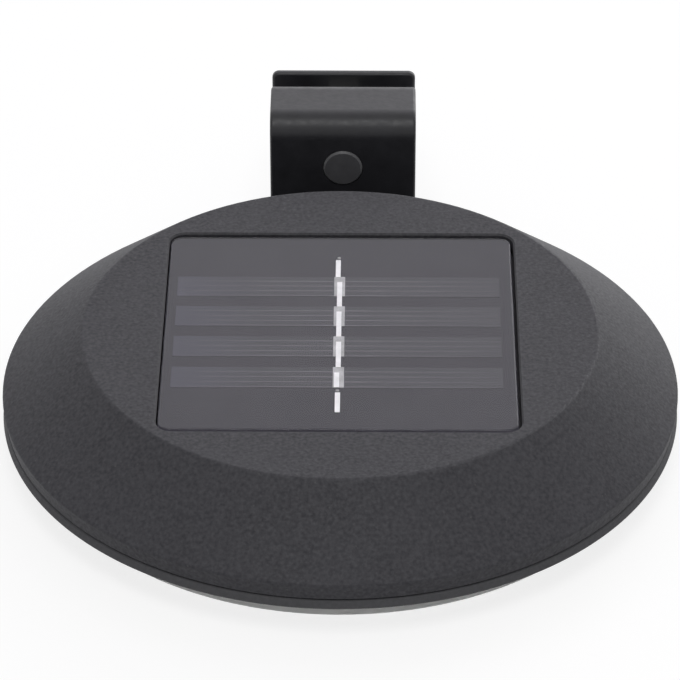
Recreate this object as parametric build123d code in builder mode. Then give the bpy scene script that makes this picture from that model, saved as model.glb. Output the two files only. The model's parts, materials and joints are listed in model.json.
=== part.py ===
from build123d import *
import math
import os

# Solar fence light: a round lamp, its folded steel bracket and the clamp screw behind it.
# Millimetres. Z is up, the bracket is on the +Y side, and the origin is the middle of the
# lens's flat underside, which is what the lamp rests on.

os.makedirs("parts", exist_ok=True)

# ---------------------------------------------------------------------- solar panel
panel_w = 62.0
panel_d = 61.1
panel_round = 2.2
panel_x = -0.12  # the panel is bonded a little off the recess's middle
panel_y = -0.23
panel_sink = 0.4  # its face lies this far below the top face
panel_face_t = 0.9
panel_bevel = 0.225
panel_board_t = 1.2
panel_pad_t = 0.6
panel_pad_edge = 2.2
cell_margin = 2.1  # from the panel's edge to the cells' ends, on average
cell_shift = -0.33  # the cells lie off the panel's middle by this much
cell_depth = 6.3
cell_pitch = 9.6
cell_count = 4
cell_t = 0.2
cell_y = -0.1
tab_shift = -0.09
tab_w = 1.95
tab_t = 0.1
ribbon_w = 0.9
ribbon_t = 0.15
ribbon_start_in = 1.8  # each ribbon piece starts this far inside its tab's rear edge
ribbon_lap = 0.15  # and laps this far onto the next tab
rear_tail = 5.5  # beyond the rear cell
front_tail = 5.95  # beyond the front cell and the gap before the tail
ribbon_break = 1.6
ribbon_shifts = [-0.3, 0.0, -0.05, -0.05, -0.3, -0.1]  # across the tabs, from the rear

# ---------------------------------------------------------------------- top cover
panel_gap_x = 0.35  # around the panel in its recess
panel_gap_y = 0.75
recess_y = -0.45
recess_round = 3.0
recess_bevel = 0.3
bevel_angle = 45.0
top_land = 2.32  # the top face's narrowest stretch, outside the recess's corners
skirt_run = 14.45  # the conical skirt's width, seen from above
rim_band = 3.25  # from the rim edge down to the seam
rim_lean = 0.5  # the rim band leans in by this much
top_round = 0.9
rim_round = 0.5
skirt_wall = 2.0
top_wall = 2.0
rim_wall = 1.75
pocket_wall = 1.6  # around and below the recess, inside the cover
pocket_floor = 1.6
wire_hole_r = 4.0
wire_hole_x = 6.0
wire_hole_y = 6.0
standoff_r = 3.0
standoff_h = 5.5
standoff_in_x = 4.0  # from the circuit board's edges to the standoffs
standoff_in_y = 5.0

# ---------------------------------------------------------------------- frame and gasket
fit_gap = 0.3  # general clearance between pieces that slip together
seam_gap = 0.12
seam_bevel = 0.25
ring_band = 1.45  # from the seam down to the ring's widest edge
ring_flare = 0.58  # the ring leans out by this much
ring_round = 0.3
ring_drop = 1.7  # from the widest edge down to the ring's underside
ring_taper = 2.98  # and in to it
ring_lip = 1.95  # the ring's underside, seen from below
flange_drop = 0.35  # the flange's top lies this far below the seam
flange_t = 2.0
flange_inset = 5.2  # from the housing screws in to the flange's inner edge
ledge_w = 1.7  # the step that carries the reflector
ledge_t = 1.0
spigot_wall = 1.9
spigot_rise = 2.9
gasket_t = 0.8
gasket_inset = 0.2
lug_margin = 0.8  # the lug is this much wider than the bracket's strip, on each side
lug_depth = 10.7  # along Y, from the bracket's seat inwards
lug_low_z = 0.8
lug_round = 1.2

# ---------------------------------------------------------------------- lens
lens_proud = 4.6  # how far the lens stands below the ring
lens_wall = 1.8
lens_floor = 1.8
lens_round = 2.2
notch_gap = 0.4  # around the frame's lug
notch_round = 1.0
lens_boss_r = 4.2
well_len = 15.0  # the well that gives a finger the switch
well_w = 9.0
well_depth = 2.6
well_roof = 1.2
well_wall = 1.4
well_round = 1.5

# ---------------------------------------------------------------------- screws
post_inset = 5.3  # from the lens's edge in to the housing screws
post_count = 4
post_angle = 45.0
post_r = 3.5
screw_head_r = 2.8
screw_head_h = 2.0
screw_shank_r = 1.45
screw_len = 11.4  # under the head
head_sink = 0.6  # heads lie this far above the lens's underside
pilot_gap = 0.05
through_gap = 0.25
pilot_spare = 0.8
board_screw_head_r = 2.2
board_screw_head_h = 1.6
board_screw_r = 1.2
board_screw_len = 4.6
board_pilot_spare = 0.4

# ---------------------------------------------------------------------- light engine
circuit_t = 1.6
circuit_d = 52.0
circuit_clear = 1.85  # from the cover's posts to the circuit board's sides and front
circuit_round = 2.0
led_count = 3
led_ring_r = 16.0
led_angle = 90.0
led_flange_r = 2.8
led_flange_t = 0.8
led_r = 2.4
led_drop = 4.8  # from the circuit board to the tip
cup_top_r = 3.2
cup_low_r = 7.5
cup_wall = 0.8
cup_gap = 0.6  # from the cups up to the circuit board
reflector_gap = 0.2
chip_x = -2.0
chip_y = -14.0
chip_len = 4.9
chip_w = 3.9
chip_h = 1.4
chip_leg_pitch = 1.27
chip_leg_count = 4
chip_leg_w = 0.4
chip_leg_out = 1.0
chip_leg_t = 0.25
choke_x = -15.0
choke_y = -16.0
choke_r = 3.0
choke_core_r = 2.1
choke_h = 3.8
choke_flange = 0.8
can_x = 13.0
can_y = -17.0
can_r = 2.5
can_base = 5.4
can_base_h = 0.9
can_h = 3.9

# ---------------------------------------------------------------------- slide switch
switch_inset = 4.0  # from the circuit board's front edge
switch_len = 8.6
switch_w = 4.4
switch_h = 4.7
switch_wall = 0.6
switch_travel = 2.0
slider_stem_l = 2.0
slider_stem_w = 1.6
slider_foot_l = 3.0
slider_foot_w = 2.6
slider_foot_h = 1.2
slider_tip_z = 0.7
slider_gap = 0.1
slider_round = 0.27

# ---------------------------------------------------------------------- battery
battery_r = 5.25
battery_len = 28.5
battery_round = 0.4
nub_r = 1.9
nub_len = 1.0
battery_room = 0.9  # behind the panel's pocket
battery_headroom = 1.55  # below the cover's ceiling
battery_seat = 0.25
holder_wall = 1.2
holder_floor = 0.9
holder_gap = 0.15
holder_over = 1.4  # the holder's walls reach this far above the cell's axis
holder_round = 2.0
contact_t = 0.5
contact_gap = 0.1
contact_w = 7.0
contact_h = 7.0
contact_tab_h = 1.6
contact_tab_out = 3.0
contact_tab_clear = 0.2  # above the circuit board's top

# ---------------------------------------------------------------------- wires
wire_r = 0.5
wire_lap = 0.05
strand_gap = 1.4  # from the wire hole's middle to each of the panel's wires
wire_drop = 1.35  # straight down below the pocket's floor
panel_lead_spread = 6.6  # the panel's wires end this far to each side of the hole
panel_lead_reach = 13.4  # and this far in front of it
panel_lead_rise = 0.6
panel_lead_radii = [2.4, 3.2, 4.8]
near_turn = (0.6, 0.35)  # shares of a panel lead's spread and reach
far_turn = (0.9, 0.7)
battery_lead_straight = 4.6
battery_lead_sway = 2.4
battery_lead_spread = 3.4
battery_lead_rise = 0.3
battery_lead_inset = 9.0  # from the circuit board's rear edge to the solder points
battery_lead_radii = [4.8, 6.4]

# ---------------------------------------------------------------------- bracket
strip_w = 27.6
strip_t = 1.6
strip_edge = 0.55  # rounding of the strip's long edges
strip_corner = 1.3  # corner radius at both ends of the strip
leg_gap = 0.82  # from the ring's widest edge back to the front leg
leg_low_z = 1.0
crest_rise = 6.0  # crest above the lamp's top face
bend_r = 2.6  # inner radius of both crest bends
throat = 12.5  # clear width between front leg and middle leg
rear_rise = 4.0  # the free end's height above the lamp's top face
fixing_x = 7.0
fixing_z = 4.2
fixing_len = 8.5

# ---------------------------------------------------------------------- clamp
screw_drop = 4.4  # clamp screw's axis below the lamp's top face
clamp_r = 3.0
nut_af = 10.0
nut_t = 5.0
nut_gap = 0.2
nut_bevel = 0.6
nut_bevel_rise = 1.2
nut_bore_gap = 0.05
bracket_hole_gap = 0.3
tip_r = 3.7
tip_hole_gap = 0.12
tip_proud = 0.35  # the tip stands out in front of the front leg
tip_len = 3.95
tip_bevel = 0.35
tip_collar_r = 4.3  # the collar behind the front leg keeps the tip from coming out of its hole
tip_collar_t = 0.6
tip_collar_gap = 0.15
nose_r = 1.8
nose_len = 2.4
nose_gap = 0.05
nose_end_gap = 0.2
screw_bevel = 0.5
knob_gap = 0.3  # from the rear leg to the knob
knob_hub_r = 4.4
knob_collar_r = 4.1
knob_t = 6.0
knob_lobe_r = 3.0
knob_lobe_x = 9.6
knob_lobe_t = 4.2
knob_bore_depth = 5.0
knob_round = 0.8

# ====================================================================== worked out from the above
# Widths: the panel sets the recess, the recess the top face, and that the lamp's diameter.
recess_w = panel_w + 2 * panel_gap_x
recess_d = panel_d + 2 * panel_gap_y
recess_corner_x = recess_w / 2 - recess_round
recess_corner_y = recess_d / 2 - recess_round + abs(recess_y)
recess_reach = math.hypot(recess_corner_x, recess_corner_y) + recess_round
top_face_r = recess_reach + top_land
rim_r = top_face_r + skirt_run
seam_r = rim_r - rim_lean
ring_r = seam_r + ring_flare
ring_low_r = ring_r - ring_taper
rim_inner_r = seam_r - rim_wall
spigot_r = rim_inner_r - fit_gap
lens_r = ring_low_r - ring_lip - fit_gap
post_ring_r = lens_r - post_inset
flange_inner_r = post_ring_r - flange_inset
ledge_r = flange_inner_r + ledge_w
reflector_r = ledge_r - reflector_gap
cell_len = panel_w - 2 * cell_margin
cell_x = panel_x + cell_shift
tab_x = panel_x + tab_shift

# Heights, from the ring up to the battery and the ceiling over it
ring_z = lens_proud
ring_edge_z = ring_z + ring_drop
seam_z = ring_edge_z + ring_band
rim_z = seam_z + rim_band
cover_low_z = seam_z + seam_gap / 2
frame_top_z = seam_z - seam_gap / 2
flange_top_z = seam_z - flange_drop
flange_z = flange_top_z - flange_t
reflector_z = flange_z + ledge_t
reflector_top_z = flange_top_z
spigot_top_z = flange_top_z + spigot_rise
step_z = spigot_top_z + gasket_t
battery_z = flange_top_z + holder_floor + battery_seat + battery_r
ceiling_z = battery_z + battery_r + battery_headroom
top_z = ceiling_z + top_wall
housing_seat_z = head_sink + screw_head_h

# Heights, from the top face down through the panel to the circuit board
panel_z = top_z - panel_sink
board_top_z = panel_z - panel_face_t
board_low_z = board_top_z - panel_board_t
pocket_z = board_low_z - panel_pad_t
pocket_low_z = pocket_z - pocket_floor
circuit_top_z = pocket_low_z - standoff_h
circuit_z = circuit_top_z - circuit_t
switch_low_z = circuit_z - switch_h
cup_rise = circuit_z - cup_gap - reflector_z
led_dome_z = circuit_z - led_drop + led_r

# The circuit board fits between the cover's posts.
post_x = post_ring_r * math.cos(math.radians(post_angle))
circuit_side_x = post_x - post_r - circuit_clear
circuit_w = 2 * circuit_side_x
circuit_front_y = -circuit_side_x
circuit_rear_y = circuit_front_y + circuit_d
circuit_y = (circuit_front_y + circuit_rear_y) / 2
standoff_x = circuit_side_x - standoff_in_x
standoff_y = circuit_d / 2 - standoff_in_y  # on each side of the circuit board's middle
switch_y = circuit_front_y + switch_inset
slider_x = -switch_travel / 2

# The battery lies behind the panel's pocket.
pocket_rear_y = recess_y + recess_d / 2 + pocket_wall
battery_y = pocket_rear_y + battery_room + battery_r
battery_end = (battery_len + nub_len) / 2
contact_x = battery_end + contact_gap
holder_inner_x = contact_x + contact_t + contact_gap
holder_inner_y = battery_r + holder_gap
holder_len = 2 * (holder_inner_x + holder_wall)
holder_d = 2 * (holder_inner_y + holder_wall)
holder_h = battery_z + holder_over - flange_top_z
holder_front_y = battery_y - holder_inner_y - holder_wall
slot_x = contact_x + contact_t / 2
slot_z = circuit_top_z + contact_tab_clear + contact_tab_h / 2
contact_front_y = battery_y - contact_w / 2
tab_front_y = holder_front_y - contact_tab_out

# The bracket stands behind the seam, and the clamp hangs in it.
lug_w = strip_w + 2 * lug_margin
leg_y = ring_r + leg_gap
leg_back_y = leg_y + strip_t
middle_y = leg_back_y + throat
middle_back_y = middle_y + strip_t
crest_z = top_z + crest_rise
notch_w = lug_w + 2 * notch_gap
notch_y = leg_y - lug_depth - notch_gap
screw_z = top_z - screw_drop
pocket_gap_y = nut_t + 2 * nut_gap
rear_y = middle_back_y + pocket_gap_y
rear_back_y = rear_y + strip_t
nut_y = middle_back_y + nut_gap
nut_back_y = nut_y + nut_t
tip_front_y = leg_y - tip_proud
tip_back_y = tip_front_y + tip_len
nose_front_y = tip_back_y - nose_len
shoulder_y = tip_back_y + nose_end_gap
knob_y = rear_back_y + knob_gap
knob_back_y = knob_y + knob_t
screw_end_y = knob_y + knob_bore_depth
screw_axis = Axis((0, 0, screw_z), (0, 1, 0))

fixing_places = [(fixing_x, fixing_z), (-fixing_x, fixing_z)]


def level(z):
    """A level plane at height z."""
    return Plane.XY.offset(z)


def standoff_places():
    """The places of the four standoffs about the circuit board's middle."""
    return GridLocations(2 * standoff_x, 2 * standoff_y, 2, 2)


def upright(y):
    """A vertical plane across the lamp at y. Its normal points to the front."""
    return Plane.XZ.offset(-y)


def skirt_inner_r(z):
    """Radius of the skirt's inner face at height z."""
    tilt = math.atan2(top_z - rim_z, skirt_run)
    outer = top_face_r + (top_z - z) / math.tan(tilt)
    return outer - skirt_wall / math.sin(tilt)


def pan_screw(head_r, head_h, shank_r, length):
    """A pan head screw with a cross recess: head below z = 0, shank above it."""
    flat_r = 0.45 * head_r  # the head's flat middle
    bulge_r = 0.86 * head_r
    bulge_h = 0.72 * head_h
    edge_h = 0.3 * head_h
    point_r = 0.2 * shank_r
    cross_len = 1.1 * head_r
    cross_w = 0.3 * head_r
    cross_depth = 0.55 * head_h
    with BuildPart() as screw:
        with BuildSketch(Plane.XZ):
            with BuildLine():
                Line((0, -head_h), (flat_r, -head_h))
                ThreePointArc((flat_r, -head_h), (bulge_r, -bulge_h), (head_r, -edge_h))
                Polyline(
                    (head_r, -edge_h),
                    (head_r, 0),
                    (shank_r, 0),
                    (shank_r, length - shank_r),
                    (point_r, length),
                    (0, length),
                    (0, -head_h),
                )
            make_face()
        revolve(axis=Axis.Z)
        with BuildSketch(level(-head_h)):
            Rectangle(cross_len, cross_w)
            Rectangle(cross_w, cross_len)
        extrude(amount=cross_depth, mode=Mode.SUBTRACT)
    return screw


def wire_along(route, radii):
    """A round insulated wire along straight runs joined by arcs."""
    with BuildPart() as wire:
        with BuildLine() as path:
            FilletPolyline(*route, radius=radii)
        with BuildSketch(Plane(origin=path.line @ 0, z_dir=path.line % 0)):
            Circle(wire_r)
        sweep(path=path.line)
    return wire


# ====================================================================== housing
# Space inside the cover, with the screw posts, the panel pocket and the standoffs left standing.
with BuildPart() as hollow:
    with BuildSketch(Plane.XZ):
        with BuildLine():
            Polyline(
                (0, ring_z),
                (rim_inner_r, ring_z),
                (rim_inner_r, step_z),
                (skirt_inner_r(step_z), step_z),
                (skirt_inner_r(ceiling_z), ceiling_z),
                (0, ceiling_z),
                close=True,
            )
        make_face()
    revolve(axis=Axis.Z)
    with BuildSketch(level(ring_z)):
        with PolarLocations(post_ring_r, post_count, start_angle=post_angle):
            Circle(post_r)
    extrude(amount=ceiling_z - ring_z, mode=Mode.SUBTRACT)
    with BuildSketch(level(pocket_low_z)):
        with Locations((0, recess_y)):
            RectangleRounded(
                recess_w + 2 * pocket_wall,
                recess_d + 2 * pocket_wall,
                recess_round + pocket_wall,
            )
    extrude(amount=ceiling_z - pocket_low_z, mode=Mode.SUBTRACT)
    with BuildSketch(level(circuit_top_z)):
        with Locations((0, circuit_y)):
            with standoff_places():
                Circle(standoff_r)
    extrude(amount=standoff_h, mode=Mode.SUBTRACT)

with BuildPart() as top_cover:
    with BuildSketch(Plane.XZ):
        with BuildLine():
            Polyline(
                (0, cover_low_z),
                (seam_r, cover_low_z),
                (rim_r, rim_z),
                (top_face_r, top_z),
                (0, top_z),
                close=True,
            )
        make_face()
    revolve(axis=Axis.Z)
    cover_edges = top_cover.edges().filter_by(GeomType.CIRCLE).sort_by(Axis.Z)
    chamfer(cover_edges[0], seam_bevel)
    rim_edge = top_cover.edges().filter_by(GeomType.CIRCLE).sort_by(SortBy.RADIUS)
    fillet(rim_edge.filter_by(lambda e: abs(e.center().Z - rim_z) < rim_round), rim_round)
    top_edge = top_cover.edges().filter_by(GeomType.CIRCLE).sort_by(Axis.Z)[-1]
    fillet(top_edge, top_round)
    add(hollow.part, mode=Mode.SUBTRACT)
    # Panel recess
    with BuildSketch(level(pocket_z)):
        with Locations((0, recess_y)):
            RectangleRounded(recess_w, recess_d, recess_round)
    extrude(amount=top_z - pocket_z, mode=Mode.SUBTRACT)
    with BuildSketch(level(top_z - recess_bevel)):
        with Locations((0, recess_y)):
            RectangleRounded(recess_w, recess_d, recess_round)
    extrude(amount=recess_bevel, taper=-bevel_angle, mode=Mode.SUBTRACT)
    # Way through the pocket's floor for the panel's wires
    with BuildSketch(level(pocket_low_z)):
        with Locations((wire_hole_x, wire_hole_y)):
            Circle(wire_hole_r)
    extrude(amount=pocket_floor, mode=Mode.SUBTRACT)
    # Pilot holes
    with BuildSketch(level(cover_low_z)):
        with PolarLocations(post_ring_r, post_count, start_angle=post_angle):
            Circle(screw_shank_r + pilot_gap)
    extrude(amount=housing_seat_z + screw_len + pilot_spare - cover_low_z, mode=Mode.SUBTRACT)
    with BuildSketch(level(circuit_top_z)):
        with Locations((0, circuit_y)):
            with standoff_places():
                Circle(board_screw_r + pilot_gap)
    extrude(amount=board_screw_len - circuit_t + board_pilot_spare, mode=Mode.SUBTRACT)

with BuildPart() as base_frame:
    with BuildSketch(Plane.XZ):
        with BuildLine():
            Polyline(
                (lens_r + fit_gap, ring_z),
                (ring_low_r, ring_z),
                (ring_r, ring_edge_z),
                (seam_r, frame_top_z),
                (spigot_r, frame_top_z),
                (spigot_r, spigot_top_z),
                (spigot_r - spigot_wall, spigot_top_z),
                (spigot_r - spigot_wall, flange_top_z),
                (ledge_r, flange_top_z),
                (ledge_r, reflector_z),
                (flange_inner_r, reflector_z),
                (flange_inner_r, flange_z),
                (lens_r + fit_gap, flange_z),
                close=True,
            )
        make_face()
    revolve(axis=Axis.Z)
    outer_edges = base_frame.edges().filter_by(GeomType.CIRCLE).sort_by(SortBy.RADIUS)[-2:]
    chamfer(outer_edges.sort_by(Axis.Z)[-1], seam_bevel)
    widest_edge = base_frame.edges().filter_by(GeomType.CIRCLE).sort_by(SortBy.RADIUS)[-1]
    fillet(widest_edge, ring_round)
    # Rear lug that carries the bracket
    with BuildSketch(level(lug_low_z)):
        with Locations((0, leg_y - lug_depth / 2)):
            Rectangle(lug_w, lug_depth)
    extrude(amount=flange_top_z - lug_low_z)
    lug_edges = base_frame.edges().filter_by(Axis.Z)
    fillet(lug_edges.filter_by(lambda e: e.center().Z < flange_z and e.length > ledge_t), lug_round)
    # Raised seats under the cover's posts
    with BuildSketch(level(flange_top_z)):
        with PolarLocations(post_ring_r, post_count, start_angle=post_angle):
            Circle(post_r)
    extrude(amount=cover_low_z - flange_top_z)
    with BuildSketch(level(flange_z)):
        with PolarLocations(post_ring_r, post_count, start_angle=post_angle):
            Circle(screw_shank_r + through_gap)
    extrude(amount=cover_low_z - flange_z, mode=Mode.SUBTRACT)
    # Pilot holes for the bracket's screws
    with BuildSketch(upright(leg_y)):
        with Locations(*fixing_places):
            Circle(screw_shank_r + pilot_gap)
    extrude(amount=fixing_len - strip_t + pilot_spare, mode=Mode.SUBTRACT)

with BuildPart() as seal_ring:
    with BuildSketch(level(spigot_top_z)):
        Circle(spigot_r - gasket_inset)
        Circle(spigot_r - spigot_wall + gasket_inset, mode=Mode.SUBTRACT)
    extrude(amount=gasket_t)

with BuildPart() as lens:
    with BuildSketch():
        Circle(lens_r)
        with Locations((0, notch_y)):
            Rectangle(notch_w, lens_r, align=(Align.CENTER, Align.MIN), mode=Mode.SUBTRACT)
    extrude(amount=flange_z)
    notch_edges = lens.edges().filter_by(Axis.Z).sort_by(Axis.Y)
    fillet(notch_edges[0:2], notch_round)
    low_edge = lens.edges().filter_by(GeomType.CIRCLE).sort_by(SortBy.RADIUS)[-2:].sort_by(Axis.Z)[0]
    fillet(low_edge, lens_round)
    with BuildSketch(level(lens_floor)):
        Circle(lens_r - lens_wall)
        with Locations((0, notch_y - lens_wall)):
            Rectangle(notch_w + 2 * lens_wall, lens_r, align=(Align.CENTER, Align.MIN), mode=Mode.SUBTRACT)
    extrude(amount=flange_z - lens_floor, mode=Mode.SUBTRACT)
    with BuildSketch(level(lens_floor)):
        with PolarLocations(post_ring_r, post_count, start_angle=post_angle):
            Circle(lens_boss_r)
    extrude(amount=flange_z - lens_floor)
    # Counterbored screw holes
    with BuildSketch():
        with PolarLocations(post_ring_r, post_count, start_angle=post_angle):
            Circle(screw_head_r + through_gap)
    extrude(amount=housing_seat_z, mode=Mode.SUBTRACT)
    with BuildSketch(level(housing_seat_z)):
        with PolarLocations(post_ring_r, post_count, start_angle=post_angle):
            Circle(screw_shank_r + through_gap)
    extrude(amount=flange_z - housing_seat_z, mode=Mode.SUBTRACT)
    # Well for the switch's slider
    with BuildSketch(level(lens_floor)):
        with Locations((0, switch_y)):
            RectangleRounded(well_len + 2 * well_wall, well_w + 2 * well_wall, well_round + well_wall)
    extrude(amount=well_depth + well_roof - lens_floor)
    with BuildSketch():
        with Locations((0, switch_y)):
            RectangleRounded(well_len, well_w, well_round)
    extrude(amount=well_depth, mode=Mode.SUBTRACT)
    with BuildSketch(level(well_depth)):
        with Locations((0, switch_y)):
            Rectangle(slider_stem_l + switch_travel + 4 * fit_gap, slider_stem_w + 2 * fit_gap)
    extrude(amount=well_roof, mode=Mode.SUBTRACT)

housing_screw = pan_screw(screw_head_r, screw_head_h, screw_shank_r, screw_len)
with BuildPart() as housing_screws:
    with Locations(level(housing_seat_z)):
        with PolarLocations(post_ring_r, post_count, start_angle=post_angle):
            add(housing_screw.part)

# ====================================================================== solar panel
first_cell_y = cell_y + cell_pitch * (cell_count - 1) / 2
cell_rows = [first_cell_y - cell_pitch * row for row in range(cell_count)]
cell_top_z = board_top_z + cell_t
tab_top_z = cell_top_z + tab_t

with BuildPart() as panel_pad:
    with BuildSketch(level(pocket_z)):
        with Locations((panel_x, panel_y)):
            Rectangle(panel_w - 2 * panel_pad_edge, panel_d - 2 * panel_pad_edge)
        with Locations((wire_hole_x, wire_hole_y)):
            Circle(wire_hole_r, mode=Mode.SUBTRACT)
    extrude(amount=panel_pad_t)

with BuildPart() as panel_board:
    with BuildSketch(level(board_low_z)):
        with Locations((panel_x, panel_y)):
            RectangleRounded(panel_w, panel_d, panel_round)
    extrude(amount=panel_board_t)

with BuildPart() as solar_cells:
    with BuildSketch(level(board_top_z)):
        with Locations(*[(cell_x, y) for y in cell_rows]):
            Rectangle(cell_len, cell_depth)
    extrude(amount=cell_t)

with BuildPart() as cell_tabs:
    with BuildSketch(level(cell_top_z)):
        with Locations(*[(tab_x, y) for y in cell_rows]):
            Rectangle(tab_w, cell_depth)
    extrude(amount=tab_t)

# Each ribbon piece starts on one tab and laps onto the next; two tails reach beyond the cells.
tab_rear_ys = [y + cell_depth / 2 for y in cell_rows]
cells_front_y = cell_rows[-1] - cell_depth / 2
front_tail_y = cells_front_y - ribbon_break
ribbon_spans = [(tab_rear_ys[0] - ribbon_lap, tab_rear_ys[0] + rear_tail)]
for here_y, next_y in zip(tab_rear_ys, tab_rear_ys[1:]):
    ribbon_spans.append((next_y - ribbon_lap, here_y - ribbon_start_in))
ribbon_spans.append((cells_front_y, tab_rear_ys[-1] - ribbon_start_in))
ribbon_spans.append((front_tail_y - front_tail, front_tail_y))

with BuildPart() as busbar_ribbon:
    with BuildSketch(level(tab_top_z)):
        for (low_y, high_y), shift in zip(ribbon_spans, ribbon_shifts):
            with Locations((tab_x + shift, (low_y + high_y) / 2)):
                Rectangle(ribbon_w, high_y - low_y)
    extrude(amount=ribbon_t)

with BuildPart() as panel_cover:
    with BuildSketch(level(board_top_z)):
        with Locations((panel_x, panel_y)):
            RectangleRounded(panel_w, panel_d, panel_round)
    extrude(amount=panel_face_t)
    chamfer(panel_cover.faces().sort_by(Axis.Z)[-1].edges(), panel_bevel)
    add(solar_cells.part, mode=Mode.SUBTRACT)
    add(cell_tabs.part, mode=Mode.SUBTRACT)
    add(busbar_ribbon.part, mode=Mode.SUBTRACT)

# ====================================================================== light engine
with BuildPart() as reflector:
    with BuildSketch(level(reflector_z)):
        Circle(reflector_r)
    extrude(amount=reflector_top_z - reflector_z)
    with Locations(level(reflector_z)):
        with PolarLocations(led_ring_r, led_count, start_angle=led_angle):
            Cone(cup_low_r + cup_wall, cup_top_r + cup_wall, cup_rise, align=(Align.CENTER, Align.CENTER, Align.MIN))
            Cone(
                cup_low_r,
                cup_top_r,
                cup_rise,
                align=(Align.CENTER, Align.CENTER, Align.MIN),
                mode=Mode.SUBTRACT,
            )
    with BuildSketch(level(reflector_z)):
        with Locations((0, switch_y)):
            Rectangle(switch_len + 2 * fit_gap, switch_w + 2 * fit_gap)
    extrude(amount=reflector_top_z - reflector_z, mode=Mode.SUBTRACT)

with BuildPart() as led:
    with BuildSketch(Plane.XZ):
        with BuildLine():
            Polyline(
                (0, circuit_z),
                (led_flange_r, circuit_z),
                (led_flange_r, circuit_z - led_flange_t),
                (led_r, circuit_z - led_flange_t),
                (led_r, led_dome_z),
            )
            TangentArc((led_r, led_dome_z), (0, led_dome_z - led_r), tangent=(0, -1))
            Line((0, circuit_z - led_drop), (0, circuit_z))
        make_face()
    revolve(axis=Axis.Z)

with BuildPart() as leds:
    with PolarLocations(led_ring_r, led_count, start_angle=led_angle):
        add(led.part)

with BuildPart() as circuit_board:
    with BuildSketch(level(circuit_z)):
        with Locations((0, circuit_y)):
            RectangleRounded(circuit_w, circuit_d, circuit_round)
            with standoff_places():
                Circle(board_screw_r + through_gap, mode=Mode.SUBTRACT)
    extrude(amount=circuit_t)

board_screw = pan_screw(board_screw_head_r, board_screw_head_h, board_screw_r, board_screw_len)
with BuildPart() as board_screws:
    with Locations((0, circuit_y, circuit_z)):
        with standoff_places():
            add(board_screw.part)

with BuildPart() as driver_chip:
    with BuildSketch(level(circuit_top_z)):
        with Locations((chip_x, chip_y)):
            Rectangle(chip_len, chip_w)
    extrude(amount=chip_h)
    with BuildSketch(level(circuit_top_z)):
        with Locations((chip_x, chip_y)):
            with GridLocations(chip_leg_pitch, chip_w + chip_leg_out, chip_leg_count, 2):
                Rectangle(chip_leg_w, chip_leg_out)
    extrude(amount=chip_leg_t)

with BuildPart() as choke:
    with BuildSketch(level(circuit_top_z)):
        with Locations((choke_x, choke_y)):
            Circle(choke_r)
    extrude(amount=choke_h)
    with BuildSketch(level(circuit_top_z + choke_flange)):
        with Locations((choke_x, choke_y)):
            Circle(choke_r)
            Circle(choke_core_r, mode=Mode.SUBTRACT)
    extrude(amount=choke_h - 2 * choke_flange, mode=Mode.SUBTRACT)

with BuildPart() as capacitor:
    with BuildSketch(level(circuit_top_z)):
        with Locations((can_x, can_y)):
            Rectangle(can_base, can_base)
    extrude(amount=can_base_h)
    with BuildSketch(level(circuit_top_z + can_base_h)):
        with Locations((can_x, can_y)):
            Circle(can_r)
    extrude(amount=can_h - can_base_h)

# ====================================================================== slide switch
with BuildPart() as switch_body:
    with BuildSketch(level(switch_low_z)):
        with Locations((0, switch_y)):
            Rectangle(switch_len, switch_w)
    extrude(amount=switch_h)
    with BuildSketch(level(switch_low_z + switch_wall)):
        with Locations((0, switch_y)):
            Rectangle(switch_len - 2 * switch_wall, switch_w - 2 * switch_wall)
    extrude(amount=switch_h - 2 * switch_wall, mode=Mode.SUBTRACT)
    with BuildSketch(level(switch_low_z)):
        with Locations((0, switch_y)):
            Rectangle(slider_stem_l + switch_travel + 2 * fit_gap, slider_stem_w + 2 * slider_gap)
    extrude(amount=switch_wall, mode=Mode.SUBTRACT)

with BuildPart() as switch_slider:
    with BuildSketch(level(slider_tip_z)):
        with Locations((slider_x, switch_y)):
            Rectangle(slider_stem_l, slider_stem_w)
    extrude(amount=switch_low_z + switch_wall + slider_gap - slider_tip_z)
    fillet(switch_slider.edges().group_by(Axis.Z)[0], slider_round)
    with BuildSketch(level(switch_low_z + switch_wall + slider_gap)):
        with Locations((slider_x, switch_y)):
            Rectangle(slider_foot_l, slider_foot_w)
    extrude(amount=slider_foot_h)

# ====================================================================== battery
with BuildPart() as battery_cell:
    with BuildSketch(Plane.YZ.offset(-battery_end)):
        with Locations((battery_y, battery_z)):
            Circle(battery_r)
    extrude(amount=battery_len)
    fillet(battery_cell.edges().filter_by(GeomType.CIRCLE), battery_round)
    with BuildSketch(Plane.YZ.offset(battery_end - nub_len)):
        with Locations((battery_y, battery_z)):
            Circle(nub_r)
    extrude(amount=nub_len)

with BuildPart() as battery_holder:
    with BuildSketch(level(flange_top_z)):
        with Locations((0, battery_y)):
            RectangleRounded(holder_len, holder_d, holder_round)
    extrude(amount=holder_h)
    with BuildSketch(level(flange_top_z + holder_floor)):
        with Locations((0, battery_y)):
            Rectangle(2 * holder_inner_x, 2 * holder_inner_y)
    extrude(amount=holder_h - holder_floor, mode=Mode.SUBTRACT)
    # Slots in the front wall for the contacts' solder tabs
    with BuildSketch(upright(battery_y - holder_inner_y)):
        with Locations((slot_x, slot_z), (-slot_x, slot_z)):
            Rectangle(contact_t + 2 * contact_gap, contact_tab_h + 2 * contact_gap)
    extrude(amount=holder_wall, mode=Mode.SUBTRACT)


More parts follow.
